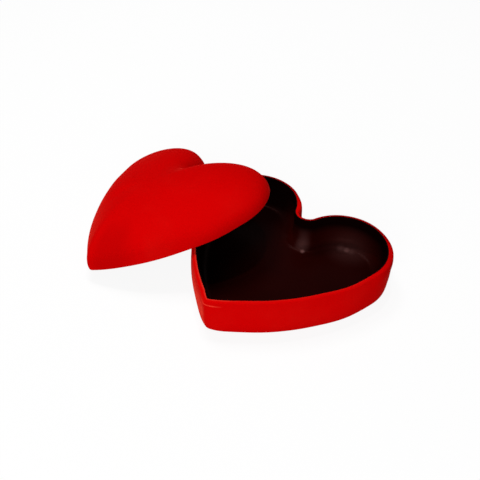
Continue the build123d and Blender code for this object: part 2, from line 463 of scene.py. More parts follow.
def gather_tree():
    """Geometry Nodes that press evenly spaced tucks into the cloth where it is turned under."""
    tree = bpy.data.node_groups.new("gathered_edge", "GeometryNodeTree")
    sockets = {
        "Geometry": "NodeSocketGeometry",
        "Pitch": "NodeSocketFloat",
        "Press": "NodeSocketVector",
        "Unevenness": "NodeSocketFloat",
        "Seed": "NodeSocketFloat",
        "Cloth": "NodeSocketMaterial",
    }
    for name, kind in sockets.items():
        tree.interface.new_socket(name, in_out="INPUT", socket_type=kind)
    tree.interface.new_socket("Geometry", in_out="OUTPUT", socket_type="NodeSocketGeometry")
    given = tree.nodes.new("NodeGroupInput").outputs
    along = add_node(tree, "GeometryNodeInputNamedAttribute", {"Name": "along"}, data_type="FLOAT")
    weight = add_node(tree, "GeometryNodeInputNamedAttribute", {"Name": "gather"}, data_type="FLOAT")
    count = combine(tree, "DIVIDE", along.outputs["Attribute"], given["Pitch"])
    drift_place = combine(tree, "ADD", count, given["Seed"])
    drift_inputs = {"W": drift_place, "Scale": TUCK_DRIFT_SCALE, "Detail": 1.0}
    drift = add_node(tree, "ShaderNodeTexNoise", drift_inputs, noise_dimensions="1D").outputs["Fac"]
    drifted = combine(tree, "ADD", count, combine(tree, "MULTIPLY", drift, given["Unevenness"]))
    off_fold = combine(tree, "PINGPONG", drifted, HALF_PITCH)
    fold = remap(tree, off_fold, (TUCK_HALF_WIDTH, 0.0), smooth=True)
    depth = combine(tree, "MULTIPLY", fold, weight.outputs["Attribute"])
    offset_inputs = {0: given["Press"], "Scale": depth}
    offset = add_node(tree, "ShaderNodeVectorMath", offset_inputs, operation="SCALE").outputs["Vector"]
    moved_inputs = {"Geometry": given["Geometry"], "Offset": offset}
    moved = add_node(tree, "GeometryNodeSetPosition", moved_inputs).outputs["Geometry"]
    real = add_node(tree, "GeometryNodeRealizeInstances", {"Geometry": moved}).outputs["Geometry"]
    dressed_inputs = {"Geometry": real, "Material": given["Cloth"]}
    dressed = add_node(tree, "GeometryNodeSetMaterial", dressed_inputs).outputs["Geometry"]
    add_node(tree, "NodeGroupOutput", {0: dressed})
    return tree


gathered_edge = gather_tree()


def gather(piece, weights, press, seed, material):
    """Presses the tucks into a cloth piece, by a weight for each of its rings."""
    mesh = piece.data
    along = [length for _ in weights for length in from_tip]
    weight = [ring_weight for ring_weight in weights for _ in from_tip]
    poles = [0.0] * (len(mesh.vertices) - len(along))
    for name, values in (("along", along), ("gather", weight)):
        mesh.attributes.new(name, "FLOAT", "POINT").data.foreach_set("value", values + poles)
    modifier = piece.modifiers.new("gathered_edge", "NODES")
    modifier.node_group = gathered_edge
    inputs = {"Pitch": TUCK_PITCH, "Unevenness": TUCK_UNEVENNESS}
    inputs.update({"Press": press, "Seed": seed, "Cloth": material})
    for name, value in inputs.items():
        modifier[gathered_edge.interface.items_tree[name].identifier] = value
    seen = piece.evaluated_get(bpy.context.evaluated_depsgraph_get())
    gathered = bpy.data.meshes.new_from_object(seen)
    piece.modifiers.clear()
    piece.data = gathered
    bpy.data.meshes.remove(mesh)


def bow(share):
    """A bow that is 0 at both ends of a stretch and 1 in its middle."""
    return 4 * share * (1 - share)


def wrap_profile():
    """Pairs of inset and height round the strip: its outside from the hem to the turn-in, and its back."""
    wall_low = FELT_PROUD + BOTTOM_ROUND
    crest = BASE_HEIGHT + RIM_PROUD
    wall_high = crest - RIM_ROUND
    under = [(BOTTOM_ROUND + TURN_UNDER * (1 - share), FELT_PROUD) for share in shares(UNDER_STEPS)]
    round_angles = [share * QUARTER_TURN for share in shares(ROUND_STEPS)]
    low_round = [
        (BOTTOM_ROUND * (1 - math.sin(angle)), wall_low - BOTTOM_ROUND * math.cos(angle))
        for angle in round_angles
    ]
    wide_steps = [HIGH_WALL_SHARE * share for share in shares(LOW_WALL_STEPS)]
    close_shares = shares(HIGH_WALL_STEPS)[1:]
    close_steps = [HIGH_WALL_SHARE + (1 - HIGH_WALL_SHARE) * share for share in close_shares]
    wall = [
        (-WALL_CROWN * bow(share), wall_low + (wall_high - wall_low) * share)
        for share in wide_steps + close_steps
    ]
    rim_round = [
        (RIM_ROUND * (1 - math.cos(angle)), wall_high + RIM_ROUND * math.sin(angle))
        for angle in round_angles
    ]
    inner_low = crest - RIM_INNER_ROUND
    inner_angles = [share * QUARTER_TURN for share in shares(INNER_ROUND_STEPS)]
    inner_round = [
        (
            RIM_WIDTH - RIM_INNER_ROUND * (1 - math.sin(angle)),
            inner_low + RIM_INNER_ROUND * math.cos(angle),
        )
        for angle in inner_angles
    ]
    turn_low = BASE_HEIGHT - TURN_IN_DEPTH
    turned_in = [(RIM_WIDTH, inner_low + (turn_low - inner_low) * share) for share in shares(TURN_IN_STEPS)]
    glued_inside = RIM_WIDTH - TURN_IN_CLOTH + GLUE_GAP
    core_top = BASE_HEIGHT - BASE_VELVET + GLUE_GAP
    core_wall = BASE_VELVET - GLUE_GAP
    core_low = FELT_PROUD + BASE_VELVET - GLUE_GAP
    behind = [(glued_inside, turn_low), (glued_inside, core_top), (core_wall, core_top)]
    behind += [
        (core_wall - WALL_CROWN * bow(share), core_top + (core_low - core_top) * share)
        for share in shares(BACK_STEPS)[1:]
    ]
    behind += [(BOTTOM_ROUND + TURN_UNDER, core_low)]
    outside = under + low_round[1:] + wall[1:] + rim_round[1:] + inner_round + turned_in[1:]
    return outside, behind


def fold_edge(along):
    """How strongly the folded edge of the turned cloth shows, and its height, which falls past the tip."""
    fade = ease(along, -FOLD_LEFT_REACH, -FOLD_LEFT_REACH / 2)
    fade *= ease(along, FOLD_RIGHT_REACH, FOLD_RIGHT_REACH / 3)
    depth = FOLD_DEPTH_SIDE + (FOLD_DEPTH_TIP - FOLD_DEPTH_SIDE) * ease(along, -FOLD_RISE_REACH, 0)
    return fade, BASE_HEIGHT - depth - FOLD_FALL_SHARE * max(along, 0)


def fold_swell(along, z):
    """How far the turned cloth stands out above its folded edge."""
    fade, edge = fold_edge(along)
    return FOLD_STEP * fade * ease(z, edge - FOLD_EDGE, edge) * ease(z, edge + FOLD_ROLL, edge)


def wrap_painted_light(along, inset, z):
    """Painted light and shade on the strip: above zero a painted highlight or sheen, below zero painted
    shade.
    """
    fade, edge = fold_edge(along)
    # A painted highlight along the top of the fold and a painted shadow just under it.
    crest = ease(abs(z - edge - FOLD_PAINTED_LINE / 2), FOLD_PAINTED_LINE, 0) * ease(along, -FOLD_RISE_REACH / 2, 0)
    under = ease(abs(z - edge + FOLD_PAINTED_LINE), FOLD_PAINTED_LINE, 0) * ease(along, FOLD_RIGHT_REACH / 2, 0)
    # Painted sheen on the left wall beside the tip, lighter towards the rim.
    side = ease(along, -LEFT_SHEEN_REACH, -LEFT_SHEEN_REACH / 3) * ease(along, 0, -TIP_RADIUS)
    left = LEFT_PAINTED_SHEEN * side * ease(z, BASE_HEIGHT - RIM_ROUND, BASE_HEIGHT / 2)
    # A painted highlight along the top of the rim, strongest by the tip and fading towards the back.
    rim_highlight = RIM_HIGHLIGHT_FAR + (RIM_PAINTED_HIGHLIGHT - RIM_HIGHLIGHT_FAR) * ease(along, *RIM_HIGHLIGHT_NEAR)
    rim_highlight *= ease(inset, RIM_ROUND / 2, RIM_ROUND)
    rim_highlight *= ease(abs(along), RIM_HIGHLIGHT_REACH, RIM_HIGHLIGHT_REACH / 2)
    high = rim_highlight if z > BASE_HEIGHT - RIM_ROUND / 2 else 0
    # Painted shade along the top of the far rim, round the back.
    far = RIM_PAINTED_SHADE * ease(abs(along), *RIM_SHADE_FROM) * ease(along, *RIM_SHADE_END)
    far *= ease(z, BASE_HEIGHT - RIM_ROUND, BASE_HEIGHT - RIM_ROUND / 2)
    # Painted shade on the upper wall at the right end.
    end = END_PAINTED_SHADE * ease(abs(along - END_AT), END_REACH, 0) * ease(z, *END_SHADE_RISE)
    lightened = max(FOLD_PAINTED_HIGHLIGHT * fade * crest, left * (1 - fade * under), high)
    return lightened - max(FOLD_PAINTED_SHADOW * fade * under, far, end)


def wall_swell(along, z):
    """How far the cloth stands off the tray, less how far it is drawn in under the rim at the right end."""
    flank = abs(along) / TIP_FLANK
    tip = TIP_SWELL * flank * math.exp((1 - flank * flank) / 2) * (1 - z / BASE_HEIGHT)
    hip = HIP_SWELL * ease(abs(along - HIP_AT), HIP_REACH, 0) * ease(z, BASE_HEIGHT - RIM_ROUND, SLACK_LOW)
    end = ease(abs(along - END_AT), END_REACH, 0)
    cleft = ease(abs(along - CLEFT_FLARE_AT), CLEFT_FLARE_REACH, 0)
    flare = RIM_FLARE * max(end, cleft) * ease(z, *RIM_FLARE_RISE)
    tuck = END_TUCK * ease(abs(along - END_TUCK_AT), END_REACH, 0) * span(z, *END_TUCK_SPAN)
    return tip + hip + flare - tuck + LOW_SWELL * ease(z, LOW_SWELL_TOP, FELT_PROUD)


def wrap_ring(inset, z, loose):
    """One ring of the strip, with its folds and the slight waver of drawn cloth, as far as it is loose."""
    ring = []
    for (point, facing), along in zip(rim.inset(inset).outline(), from_tip):
        place = point + Vector((0, 0, z))
        waver = WRAP_WAVER * noise.noise(place * WRAP_WAVER_SCALE)
        ring.append(place + facing * loose * (waver + fold_swell(along, z) + wall_swell(along, z)))
    return ring


def settled(ring, inset):
    """A ring whose top is let down and outwards where the mouth gives way: at the tip and the right end."""
    core_top = BASE_HEIGHT - BASE_VELVET
    low = core_top if inset > BASE_VELVET else SLACK_LOW
    moved = []
    for place, (_, facing), along in zip(ring, rim.inset(inset).outline(), from_tip):
        tip = ease(along, -SLACK_TIP_LEFT, 0) * ease(along, SLACK_TIP_RIGHT, 0)
        end = SLACK_END_SHARE * ease(abs(along - SLACK_END_AT), SLACK_END_REACH, 0)
        slack = max(tip, end) * ease(place.z, low, core_top + TURN_IN_CLOTH)
        moved.append(place + (facing * RIM_LEAN - Vector((0, 0, RIM_DIP))) * slack)
    return moved


def velvet_wrap():
    """The strip as one closed thin shell, with tucks pressed into its turned-under edge."""
    outside, behind = wrap_profile()
    wall_low = FELT_PROUD + BOTTOM_ROUND
    rings = []
    for inset, z in outside:
        hem = BOTTOM_ROUND if z < wall_low else RIM_ROUND
        rings.append(settled(wrap_ring(inset, z, 1 - ease(inset, 0, hem)), inset))
    rings += [wrap_ring(inset, z, 0) for inset, z in behind]
    piece = loft("velvet_wrap", rings, looped=True)
    # Painted highlights, sheen and shade for each point of the outside.
    painted_marks = [wrap_painted_light(along, inset, z) for inset, z in outside for along in from_tip]
    painted_marks += [0.0] * (len(piece.data.vertices) - len(painted_marks))
    piece.data.attributes.new("painted_light_and_shade", "FLOAT", "POINT").data.foreach_set("value", painted_marks)
    hem_from, hem_to = BOTTOM_ROUND / 2, BOTTOM_ROUND + TURN_UNDER
    weights = [ease(inset, hem_from, hem_to) * (z < wall_low) for inset, z in outside]
    gather(piece, weights + [0.0] * len(behind), WRAP_TUCK_PRESS, WRAP_TUCK_SEED, velvet)
    return piece


wrap = velvet_wrap()
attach(wrap, "base")
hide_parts("base_velvet")


# Felt pad: a flat heart cut from dark felt, glued under the tray inside the turned-under velvet.
# It meets the cut edge of the cloth and is a little thicker, so the box stands on it.
PAD_THICKNESS = 0.0009
PAD_EDGE_ROUND = 0.0002
PAD_GAP = 0.0001
PAD_CENTRE = Vector((0, 0, 0))
PAD_SPREAD_SHARES = (0.9, 0.75, 0.6, 0.45, 0.3, 0.15)
FELT_DARK = (0.030, 0.0020, 0.0030, 1.0)
FELT_PALE = (0.085, 0.0080, 0.0090, 1.0)
FELT_FIBRE_SCALE = 900.0
FELT_DEPTH = 0.00015


def spread_in(ring, centre, height, parts):
    """Rings that close in from an outline towards a centre, at one height."""
    middle = Vector((centre.x, centre.y, height))
    return [[middle + (point - middle) * (1 - share) for point in ring] for share in parts]


dark_felt = fibrous(
    "dark_felt",
    scale=FELT_FIBRE_SCALE,
    detail=5.0,
    depth=FELT_DEPTH,
    dark=FELT_DARK,
    pale=FELT_PALE,
    finish={"Roughness": 1.0, "Specular IOR Level": 0.0, "Sheen Weight": 0.15, "Sheen Roughness": 0.5},
)


def felt_pad():
    """The pad as a closed flat piece with softened edges."""
    heart = rim.inset(BOTTOM_ROUND + TURN_UNDER + PAD_GAP)
    soft = heart.inset(PAD_EDGE_ROUND)
    top = PAD_THICKNESS - GLUE_GAP
    low = soft.ring(0)
    high = soft.ring(top)
    rings = spread_in(low, PAD_CENTRE, 0, PAD_SPREAD_SHARES)
    rings += [low, heart.ring(PAD_EDGE_ROUND), heart.ring(top - PAD_EDGE_ROUND), high]
    rings += spread_in(high, PAD_CENTRE, top, PAD_SPREAD_SHARES[::-1])
    piece = loft("felt_pad", rings, PAD_CENTRE, PAD_CENTRE + Vector((0, 0, top)))
    piece.data.materials.append(dark_felt)
    return piece


pad = felt_pad()
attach(pad, "base")
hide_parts("base_felt_pad")


# Moulded lining of the base: a thin liner of dark maroon-brown plastic, formed in one piece.
# Its wall runs into the floor in a wide cove, and it is glued in with its edge just inside the rim.
BASE_FLOOR = 0.0016
LINING_LIP_PROUD = 0.0001
LINING_LOW = FELT_PROUD + BASE_VELVET + BASE_FLOOR
LINING_TOP = BASE_HEIGHT + LINING_LIP_PROUD
LINING_WALL = 0.0007
LINING_FLOOR = 0.0009
LINING_COVE = 0.0070
LINING_CENTRE = Vector((0, 0.002, 0))
LINING_SPREAD_SHARES = (0.12, 0.25, 0.4, 0.55, 0.7, 0.85)
LINING_BACK_STEPS = 10
LINING_COVE_STEPS = 22
LINING_WALL_STEPS = 10
LINING_LIP_STEPS = 8
# The lining's colour in painted shade and in painted light, blended by the masks below.
LINING_SHADED = (0.0030, 0.0003, 0.0003, 1.0)
LINING_LIT = (0.0200, 0.0011, 0.0007, 1.0)
# Painted highlights: a pale colour laid at listed spots on the ridge and in the right lobe's cove, below a
# height.
LINING_GLINT_PAINT = (0.1300, 0.0540, 0.0510, 1.0)
LINING_GLINT_SPOTS = (
    (Vector((0.0034, 0.0264, 0)), 0.0055, 0.38),
    (Vector((0.0055, 0.0234, 0)), 0.0018, 1.0),
    (Vector((0.0245, 0.0415, 0)), 0.0170, 0.15),
    (Vector((0.0205, 0.0391, 0)), 0.0032, 0.30),
    (Vector((0.0238, 0.0400, 0)), 0.0024, 0.80),
    (Vector((0.0265, 0.0407, 0)), 0.0030, 0.25),
)
LINING_GLINT_TOP = 0.0165
LINING_GLOSS_TINT = (1.0, 0.12, 0.08, 1.0)
# Where the painted light gives way to painted shade: left, right, cove and wall.
LINING_SHADE_LEFT = (-0.026, -0.004)
LINING_SHADE_RIGHT = (0.052, 0.040)
LINING_LIT_COVE = (0.0034, 0.0065)
LINING_SHADE_WALL = (0.0175, 0.0100)
LINING_FLOOR_SHARE = 0.6
LINING_GRAIN_SCALE = 1500.0
LINING_GRAIN_DEPTH = 0.00003
LINING_CLOUD_SCALE = 60.0
LINING_CLOUD_LIT_RANGE = (0.7, 1.2)
LINING_ROUGHNESS = (0.26, 0.32)
PLAN = (1.0, 1.0, 0.0)


def moulded_lining():
    """Satin maroon-brown skin, finely grained, with painted light in the cove's right half, painted shade to
    the left, at the right end and up the walls, and painted highlights at some spots.
    """
    material, tree, shader, place = start_material("moulded_lining")
    cells_inputs = {"Vector": place, "Scale": LINING_GRAIN_SCALE, "Smoothness": 0.6}
    cells = add_node(tree, "ShaderNodeTexVoronoi", cells_inputs, feature="SMOOTH_F1").outputs["Distance"]
    bump = add_node(tree, "ShaderNodeBump", {"Height": cells, "Distance": LINING_GRAIN_DEPTH})
    clouds = grain(tree, place, LINING_CLOUD_SCALE, detail=4.0)
    axes = add_node(tree, "ShaderNodeSeparateXYZ", {"Vector": place}).outputs
    light_masks = (
        # Painted shadow of the lid over the left lobe.
        (axes["X"], LINING_SHADE_LEFT, 0.0),
        # Painted shade at the right end.
        (axes["X"], LINING_SHADE_RIGHT, 0.0),
        # Painted light in the cove, with the floor a little less lit, and painted shade up the walls.
        (axes["Z"], LINING_LIT_COVE, LINING_FLOOR_SHARE),
        (axes["Z"], LINING_SHADE_WALL, 0.0),
    )
    # Random clouds times the masks of painted light and shade: one gives the lit colour, zero the shaded
    # one.
    lit_share = remap(tree, clouds, UNIT_RANGE, LINING_CLOUD_LIT_RANGE)
    for value, given, least in light_masks:
        fade = remap(tree, value, given, (least, 1.0), smooth=True)
        lit_share = combine(tree, "MULTIPLY", lit_share, fade)
    tone = blend_colours(tree, lit_share, LINING_SHADED, LINING_LIT)
    low = remap(tree, axes["Z"], (LINING_GLINT_TOP, LINING_COVE))
    flat = add_node(tree, "ShaderNodeVectorMath", {0: place, 1: PLAN}, operation="MULTIPLY")
    # Painted highlights at the listed spots, low on the lining only.
    for spot, reach, strength in LINING_GLINT_SPOTS:
        away_inputs = {0: flat.outputs["Vector"], 1: spot}
        away = add_node(tree, "ShaderNodeVectorMath", away_inputs, operation="DISTANCE").outputs["Value"]
        near = remap(tree, away, (reach, 0.0), (0.0, strength), smooth=True)
        tone = blend_colours(tree, combine(tree, "MULTIPLY", near, low), tone, LINING_GLINT_PAINT)
    set_shader(tree, shader, {
        "Base Color": tone,
        "Normal": bump.outputs["Normal"],
        "Roughness": remap(tree, clouds, UNIT_RANGE, LINING_ROUGHNESS),
        "Specular IOR Level": 0.01,
        "Specular Tint": LINING_GLOSS_TINT,
        "Coat Weight": 0.003,
        "Coat Roughness": 0.12,
    })
    return material


def cup_profile(inset, low, cove, count):
    """Pairs of inset and height from the flat floor up the cove to where the wall stands upright."""
    angles = [share * QUARTER_TURN for share in shares(count)]
    return [
        (inset + cove * (1 - math.sin(angle)), low + cove * (1 - math.cos(angle)))
        for angle in angles
    ]


def base_lining():
    """The liner as a closed thin shell with a rounded edge."""
    outer = RIM_WIDTH + GLUE_GAP
    inner = RIM_WIDTH + LINING_WALL
    lip = (inner - outer) / 2
    wall_top = LINING_TOP - lip
    floor_high = LINING_LOW + LINING_FLOOR
    under = cup_profile(outer, LINING_LOW, LINING_COVE + LINING_WALL, LINING_BACK_STEPS)
    inside = cup_profile(inner, floor_high, LINING_COVE, LINING_COVE_STEPS)
    under += [(outer, under[-1][1] + (wall_top - under[-1][1]) * share) for share in shares(2)[1:]]
    lip_angles = [share * math.pi for share in shares(LINING_LIP_STEPS)[1:]]
    lip_round = [
        (outer + lip * (1 - math.cos(angle)), wall_top + lip * math.sin(angle))
        for angle in lip_angles
    ]
    wall_shares = shares(LINING_WALL_STEPS)[1:-1]
    wall = [(inner, wall_top + (inside[-1][1] - wall_top) * share) for share in wall_shares]
    profile = under + lip_round + wall + inside[::-1]
    rings = [settled(rim.inset(inset).ring(z), inset) for inset, z in profile]
    below = spread_in(rings[0], LINING_CENTRE, LINING_LOW, LINING_SPREAD_SHARES[::-1])
    above = spread_in(rings[-1], LINING_CENTRE, floor_high, LINING_SPREAD_SHARES)
    low_pole = LINING_CENTRE + Vector((0, 0, LINING_LOW))
    high_pole = LINING_CENTRE + Vector((0, 0, floor_high))
    return loft("base_liner", below + rings + above, low_pole, high_pole)


lining_finish = moulded_lining()
liner = base_lining()
liner.data.materials.append(lining_finish)
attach(liner, "base")
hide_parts("base_lining")


# Lid shell: the hidden core of the lid, a domed heart moulded from the same fibre board as the tray.
# The wadding and the velvet are drawn over it, and the lining is glued inside it.
cover_node("lid_shell", board)


# Wadding: a thin layer of soft fibre laid over the shell, under the velvet of the lid.
# It takes the hard edge off the dome, and it is held by the cover that is drawn over it.
LID_OVERHANG = 0.0010
LID_BAND = 0.0006
DOME_RISE = 0.0224
DOME_CREST_BELOW_LOBES = 0.0224
DOME_TIP_ROUND = 0.0100
DOME_POWER = 2.18
LOBE_POWER = 1.15
CLEFT_POWER = 1.15
END_POWER = 1.15
LID_VELVET = 0.0007
LID_WADDING = 0.0012
LID_SHELL = 0.0014
LID_LINING = 0.0005
LAYER_GAP = 0.00006
CREST_TURN = math.radians(88.5)
LEAN_X = -0.0669
LEAN_Y = -0.0135
LEAN_TURN = math.radians(-6.7)
LEAN_CLIMB = math.radians(23.5)
LEAN_TILT = math.radians(19.3835)
WADDING_PALE = (0.82, 0.80, 0.75, 1.0)
WADDING_DARK = (0.66, 0.63, 0.57, 1.0)
WADDING_FIBRE_SCALE = 700.0
WADDING_DEPTH = 0.0004
WADDING_STEPS = 30


def dome_heart(layer, turn, cleft_power=CLEFT_POWER):
    """The dome's outline and height, by a turn from its edge at 0 to its crest at a right angle."""
    edge = rim.inset(layer - LID_OVERHANG)
    crest_y = rim.lobe_y - DOME_CREST_BELOW_LOBES
    top = edge.lobe_y + edge.lobe
    width = math.cos(turn) ** (2 / DOME_POWER)
    level = math.sin(turn) ** (2 / DOME_POWER)
    ends = width**END_POWER
    lobe = edge.lobe * width**LOBE_POWER
    heart = Heart(
        half_width=edge.half_width * width,
        lobe=lobe,
        lobe_y=crest_y + (top - crest_y) * ends - lobe,
        cleft=edge.cleft * width**cleft_power,
        tip_y=crest_y + (edge.tip_y - crest_y) * ends,
        side=edge.side * width,
        tip=edge.tip * width + DOME_TIP_ROUND * width * (1 - width),
    )
    return heart, LID_BAND + (DOME_RISE - layer) * level


def dome_crest(layer):
    """The top point of the dome at a layer's depth."""
    return Vector((0, rim.lobe_y - DOME_CREST_BELOW_LOBES, LID_BAND + DOME_RISE - layer))


def dome_rings(layer, count, foot, cleft_power=CLEFT_POWER):
    """Rings of points from a foot's height up to just below the crest."""
    first = math.asin(((foot - LID_BAND) / (DOME_RISE - layer)) ** (DOME_POWER / 2))
    rings = []
    for share in shares(count):
        heart, z = dome_heart(layer, first + (CREST_TURN - first) * share, cleft_power)
        rings.append(heart.ring(z))
    return rings


def dome_layer(name, outer, inner, count):
    """One closed layer of the lid between two depths, cut flat at the foot."""
    foot = LID_VELVET + LAYER_GAP
    rings = dome_rings(inner, count, foot)[::-1] + dome_rings(outer, count, foot)
    return loft(name, rings, dome_crest(inner), dome_crest(outer))


def lean_matrix():
    """The lid's place beside the base: turned, tilted, and with its low edge where the CAD lid's is."""
    axis = Vector((math.sin(LEAN_CLIMB), -math.cos(LEAN_CLIMB), 0))
    turned = Matrix.Rotation(LEAN_TILT, 4, axis) @ Matrix.Rotation(LEAN_TURN, 4, "Z")
    lowest = min((turned @ point).z for point in rim.inset(-LID_OVERHANG).ring(0))
    return Matrix.Translation((LEAN_X, LEAN_Y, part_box("lid_velvet")[0].z - lowest)) @ turned


lean = lean_matrix()


soft_wadding = fibrous(
    "soft_wadding",
    scale=WADDING_FIBRE_SCALE,
    detail=6.0,
    depth=WADDING_DEPTH,
    dark=WADDING_DARK,
    pale=WADDING_PALE,
    finish={"Roughness": 1.0, "Specular IOR Level": 0.0, "Sheen Weight": 0.2},
)
wadding_top = LID_VELVET + LAYER_GAP
wadding_low = LID_VELVET + LID_WADDING - LAYER_GAP
wadding = dome_layer("lid_padding", wadding_top, wadding_low, WADDING_STEPS)
wadding.data.materials.append(soft_wadding)
wadding.data.transform(lean)
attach(wadding, "lid")
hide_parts("lid_wadding")


# Velvet cover of the lid: one piece of the same velvet, drawn over the padded dome.
# It spans the shallow upper end of the cleft, is turned in under the edge in small tucks, and is glued.

# Its edge and cleft, and the steps over it.
COLLAR_INSET = 0.0029
EDGE_ROUND = 0.0007
EDGE_SAG = 0.00025
EDGE_PROUD = 0.0002
EDGE_PROUD_TOP = 0.005
COVER_CLEFT_POWER = 1.75
COVER_WAVER = 0.00014
COVER_WAVER_SCALE = 55.0
COVER_TUCK_PRESS = Vector((0, 0, 0.00030))
COVER_TUCK_SEED = 11.0
COVER_STEPS = 56
COVER_BACK_STEPS = 20
ROLL_STEPS = 6
FLANGE_STEPS = 10
FLANGE_SAG_FROM = 0.4

# Where the padding fills it out.
COVER_HIP_SWELL = 0.0012
COVER_HIP_TURN = 0.6
COVER_TIP_SWELL = 0.0005
COVER_TIP_RISE = (-0.006, 0.000, 0.024, 0.006)
COVER_TIP_TOP = 0.5
COVER_SHOULDER = 0.0010
COVER_SHOULDER_SPAN = (-0.088, -0.064, -0.026, -0.046)
COVER_SHOULDER_TURN = (0.45, 0.90, 1.50, 1.10)

# Its painted light and shade.
COVER_PAINTED_SHEEN = 0.10
COVER_SHEEN_TURN = 1.15
COVER_SHEEN_SPAN = (-0.060, -0.020, -0.001, -0.007)
COVER_EDGE_PAINTED_SHADE = 0.30
COVER_EDGE_TURN = 0.28
COVER_EDGE_SPAN = (0.045, 0.080, 0.150, 0.120)
COVER_TIP_PAINTED_SHADE = 0.34
COVER_TIP_TURN = 1.1
COVER_TIP_SPAN = (-0.004, 0.008, 0.035, 0.018)
CREASE_PAINTED_SHEEN = 0.26
CREASE_AT = 0.0040
CREASE_REACH = 0.0018
CREASE_TURN = (0.55, 0.80, 1.20, 0.95)


def cover_swell(along, turn):
    """How far the padding fills the cover out: at the tip, the right side's edge and the left shoulder."""
    hip = COVER_HIP_SWELL * ease(abs(along - HIP_AT), HIP_REACH, 0) * ease(turn, COVER_HIP_TURN, 0)
    tip = COVER_TIP_SWELL * span(along, *COVER_TIP_RISE) * ease(turn, COVER_TIP_TOP, 0)
    shoulder = COVER_SHOULDER * span(along, *COVER_SHOULDER_SPAN) * span(turn, *COVER_SHOULDER_TURN)
    return hip + tip + shoulder


def cover_ring(turn):
    """One ring of the cover's outer face, with the slight waver of drawn cloth."""
    heart, z = dome_heart(0, turn, COVER_CLEFT_POWER)
    proud = EDGE_PROUD * ease(z, EDGE_PROUD_TOP, LID_BAND)
    ring = []
    for (point, facing), along in zip(heart.outline(), from_tip):
        place = point + Vector((0, 0, z))
        out = facing * math.cos(turn) + Vector((0, 0, math.sin(turn)))
        waver = COVER_WAVER * noise.noise(place * COVER_WAVER_SCALE)
        ring.append(place + out * (waver + proud + cover_swell(along, turn)))
    return ring


def rolled_ring(angle):
    """One ring of the rounded lower edge of the cover, from its underside at 0 to a right angle."""
    inset = -LID_OVERHANG - EDGE_PROUD + EDGE_ROUND * (1 - math.sin(angle))
    z = EDGE_ROUND * (1 - math.cos(angle)) - EDGE_SAG
    return [
        point + facing * math.sin(angle) * cover_swell(along, 0) + Vector((0, 0, z))
        for (point, facing), along in zip(rim.inset(inset).outline(), from_tip)
    ]


def cover_painted_light(along, turn):
    """Painted light and shade on the cover: painted sheen low on the left and by the crease, painted shade
    by the tip and right edge.
    """
    # Painted sheen low on the left flank beside the tip.
    pale = COVER_PAINTED_SHEEN * ease(turn, COVER_SHEEN_TURN, 0) * span(along, *COVER_SHEEN_SPAN)
    # Painted shade along the low right edge.
    edge = COVER_EDGE_PAINTED_SHADE * ease(turn, COVER_EDGE_TURN, 0) * span(along, *COVER_EDGE_SPAN)
    # Painted shade by the tip.
    tip = COVER_TIP_PAINTED_SHADE * ease(turn, COVER_TIP_TURN, COVER_TIP_TURN / 2) * span(along, *COVER_TIP_SPAN)
    # A painted sheen line beside the crease where the two lobes meet.
    off_crease = abs(cleft_from_tip - CREASE_AT - along)
    crease = CREASE_PAINTED_SHEEN * ease(off_crease, CREASE_REACH, 0) * span(turn, *CREASE_TURN)
    return pale + crease - max(edge, tip)


def velvet_cover():
    """The cover as one closed thin shell, with tucks pressed into its turned-in edge."""
    depth = LID_VELVET - LAYER_GAP
    flange_in = COLLAR_INSET - LAYER_GAP
    flange_out = EDGE_ROUND - LID_OVERHANG - EDGE_PROUD
    behind = dome_rings(depth, COVER_BACK_STEPS, LID_VELVET, COVER_CLEFT_POWER)[::-1]
    behind.append(rim.inset(flange_in).ring(depth))
    flange_shares = shares(FLANGE_STEPS)
    flange = []
    for share in flange_shares:
        heart = rim.inset(flange_in + (flange_out - flange_in) * share)
        flange.append(heart.ring(-EDGE_SAG * ease(share, FLANGE_SAG_FROM, 1)))
    rolled = [rolled_ring(share * QUARTER_TURN) for share in shares(ROLL_STEPS)[1:]]
    turns = [CREST_TURN * share for share in shares(COVER_STEPS)]
    outside = [cover_ring(turn) for turn in turns]
    rings = behind + flange + rolled + outside
    piece = loft("velvet_cover", rings, dome_crest(depth), dome_crest(0))
    piece.data.transform(lean)
    painted_marks = [0.0] * (len(from_tip) * len(behind + flange))
    painted_marks += [cover_painted_light(along, turn) for turn in [0.0] * len(rolled) + turns for along in from_tip]
    painted_marks += [0.0] * (len(piece.data.vertices) - len(painted_marks))
    piece.data.attributes.new("painted_light_and_shade", "FLOAT", "POINT").data.foreach_set("value", painted_marks)
    weights = [0.0] * len(behind)
    weights += [1 - share for share in flange_shares]
    weights += [0.0] * len(rolled + outside)
    gather(piece, weights, lean.to_3x3() @ COVER_TUCK_PRESS, COVER_TUCK_SEED, velvet)
    return piece


cover = velvet_cover()
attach(cover, "lid")
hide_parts("lid_velvet")


# Lid lining: a thin domed liner of the same dark plastic as the base lining, glued inside the shell.
# Only the underside of a lifted lid shows it.
LID_LINING_STEPS = 40

lining_depth = LID_VELVET + LID_WADDING + LID_SHELL
lining_faces = (lining_depth + LAYER_GAP, lining_depth + LID_LINING)
dome_lining = dome_layer("lid_liner", *lining_faces, LID_LINING_STEPS)
dome_lining.data.materials.append(lining_finish)
dome_lining.data.transform(lean)
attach(dome_lining, "lid")
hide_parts("lid_lining")


# Collar: a low band of dark card glued upright inside the edge of the lid.
# It drops into the mouth of the base and keeps the closed lid in place.
COLLAR_DROP = 0.0012
COLLAR_HEIGHT = 0.0040
COLLAR_WALL = 0.0010
COLLAR_ROUND = 0.0002
COLLAR_STEPS = 6
CARD_DARK = (0.0060, 0.0008, 0.0006, 1.0)
CARD_PALE = (0.0150, 0.0028, 0.0022, 1.0)
CARD_FIBRE_SCALE = 800.0
CARD_GRAIN_DEPTH = 0.00004


